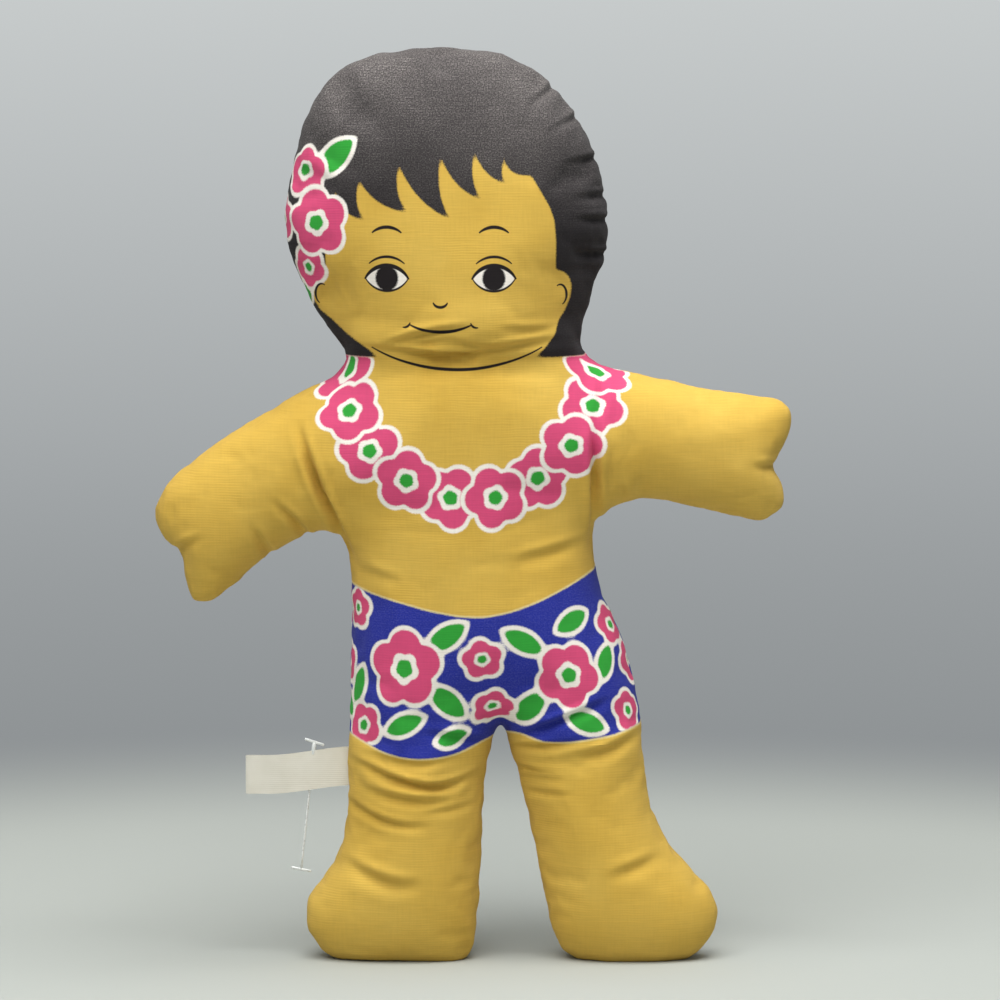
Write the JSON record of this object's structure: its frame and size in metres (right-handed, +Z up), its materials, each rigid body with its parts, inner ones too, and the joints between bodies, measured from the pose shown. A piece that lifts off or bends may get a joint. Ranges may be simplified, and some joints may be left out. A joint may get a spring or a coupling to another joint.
{
  "type": "pillow doll",
  "caption": "Stuffed printed-cloth pillow doll: sewn front and back panels over stuffing, bending at neck, shoulders and hips, with a folded side label.",
  "frame": {"origin": "on the floor plane under the middle of the doll's box", "axes": "+Z up from the soles to the crown, -Y the way the face looks, +X towards the doll's own left hand"},
  "size_m": [0.2811, 0.074, 0.3999],
  "materials": {
    "printed_cotton": "matte plain-woven printed cotton, mustard gold ground",
    "hair_print_cotton": "the same cotton printed solid charcoal, faded on the crown",
    "polyester_fill": "loose white fibre stuffing",
    "label_tape": "smooth cream label tape",
    "clear_nylon": "clear moulded nylon"
  },
  "bodies": {
    "torso": {"torso_front_panel": "printed_cotton", "torso_back_panel": "printed_cotton", "torso_stuffing": "polyester_fill"},
    "head": {"head_front_panel": "printed_cotton", "head_back_panel": "hair_print_cotton", "head_stuffing": "polyester_fill"},
    "arm_right": {"arm_right_front_panel": "printed_cotton", "arm_right_back_panel": "printed_cotton", "arm_right_stuffing": "polyester_fill"},
    "arm_left": {"arm_left_front_panel": "printed_cotton", "arm_left_back_panel": "printed_cotton", "arm_left_stuffing": "polyester_fill"},
    "leg_right": {"leg_right_front_panel": "printed_cotton", "leg_right_back_panel": "printed_cotton", "leg_right_stuffing": "polyester_fill"},
    "leg_left": {"leg_left_front_panel": "printed_cotton", "leg_left_back_panel": "printed_cotton", "leg_left_stuffing": "polyester_fill"},
    "label": {"label": "label_tape"},
    "tag_fastener": {"tag_fastener": "clear_nylon"}
  },
  "joints": [
    {"name": "neck_nod", "type": "hinge", "parent": "torso", "child": "head", "pos_m": [-0.002, 0, 0.268], "axis": [1, 0, 0], "range_deg": [-30, 35], "stiffness_Nm_per_rad": 0.3},
    {"name": "shoulder_right_swing", "type": "hinge", "parent": "torso", "child": "arm_right", "pos_m": [-0.06971, 0, 0.22386], "axis": [-0.2672, 0, 0.9636], "range_deg": [-40, 60], "stiffness_Nm_per_rad": 0.12},
    {"name": "shoulder_left_swing", "type": "hinge", "parent": "torso", "child": "arm_left", "pos_m": [0.06598, 0, 0.22844], "axis": [-0.0698, 0, -0.9976], "range_deg": [-40, 60], "stiffness_Nm_per_rad": 0.12},
    {"name": "hip_right_swing", "type": "hinge", "parent": "torso", "child": "leg_right", "pos_m": [-0.024, 0, 0.084], "axis": [-1, 0, 0], "range_deg": [-40, 65], "stiffness_Nm_per_rad": 0.35},
    {"name": "hip_left_swing", "type": "hinge", "parent": "torso", "child": "leg_left", "pos_m": [0.043, 0, 0.084], "axis": [-1, 0, 0], "range_deg": [-40, 65], "stiffness_Nm_per_rad": 0.35},
    {"name": "label_flap", "type": "hinge", "parent": "leg_right", "child": "label", "pos_m": [-0.05523, 0, 0.0835], "axis": [0, 0, 1], "range_deg": [-40, 40], "stiffness_Nm_per_rad": 0.0005},
    {"name": "tag_fastener_swing", "type": "hinge", "parent": "label", "child": "tag_fastener", "pos_m": [-0.07073, 0, 0.0924], "axis": [0, 1, 0], "range_deg": [-4, 10]}
  ]
}
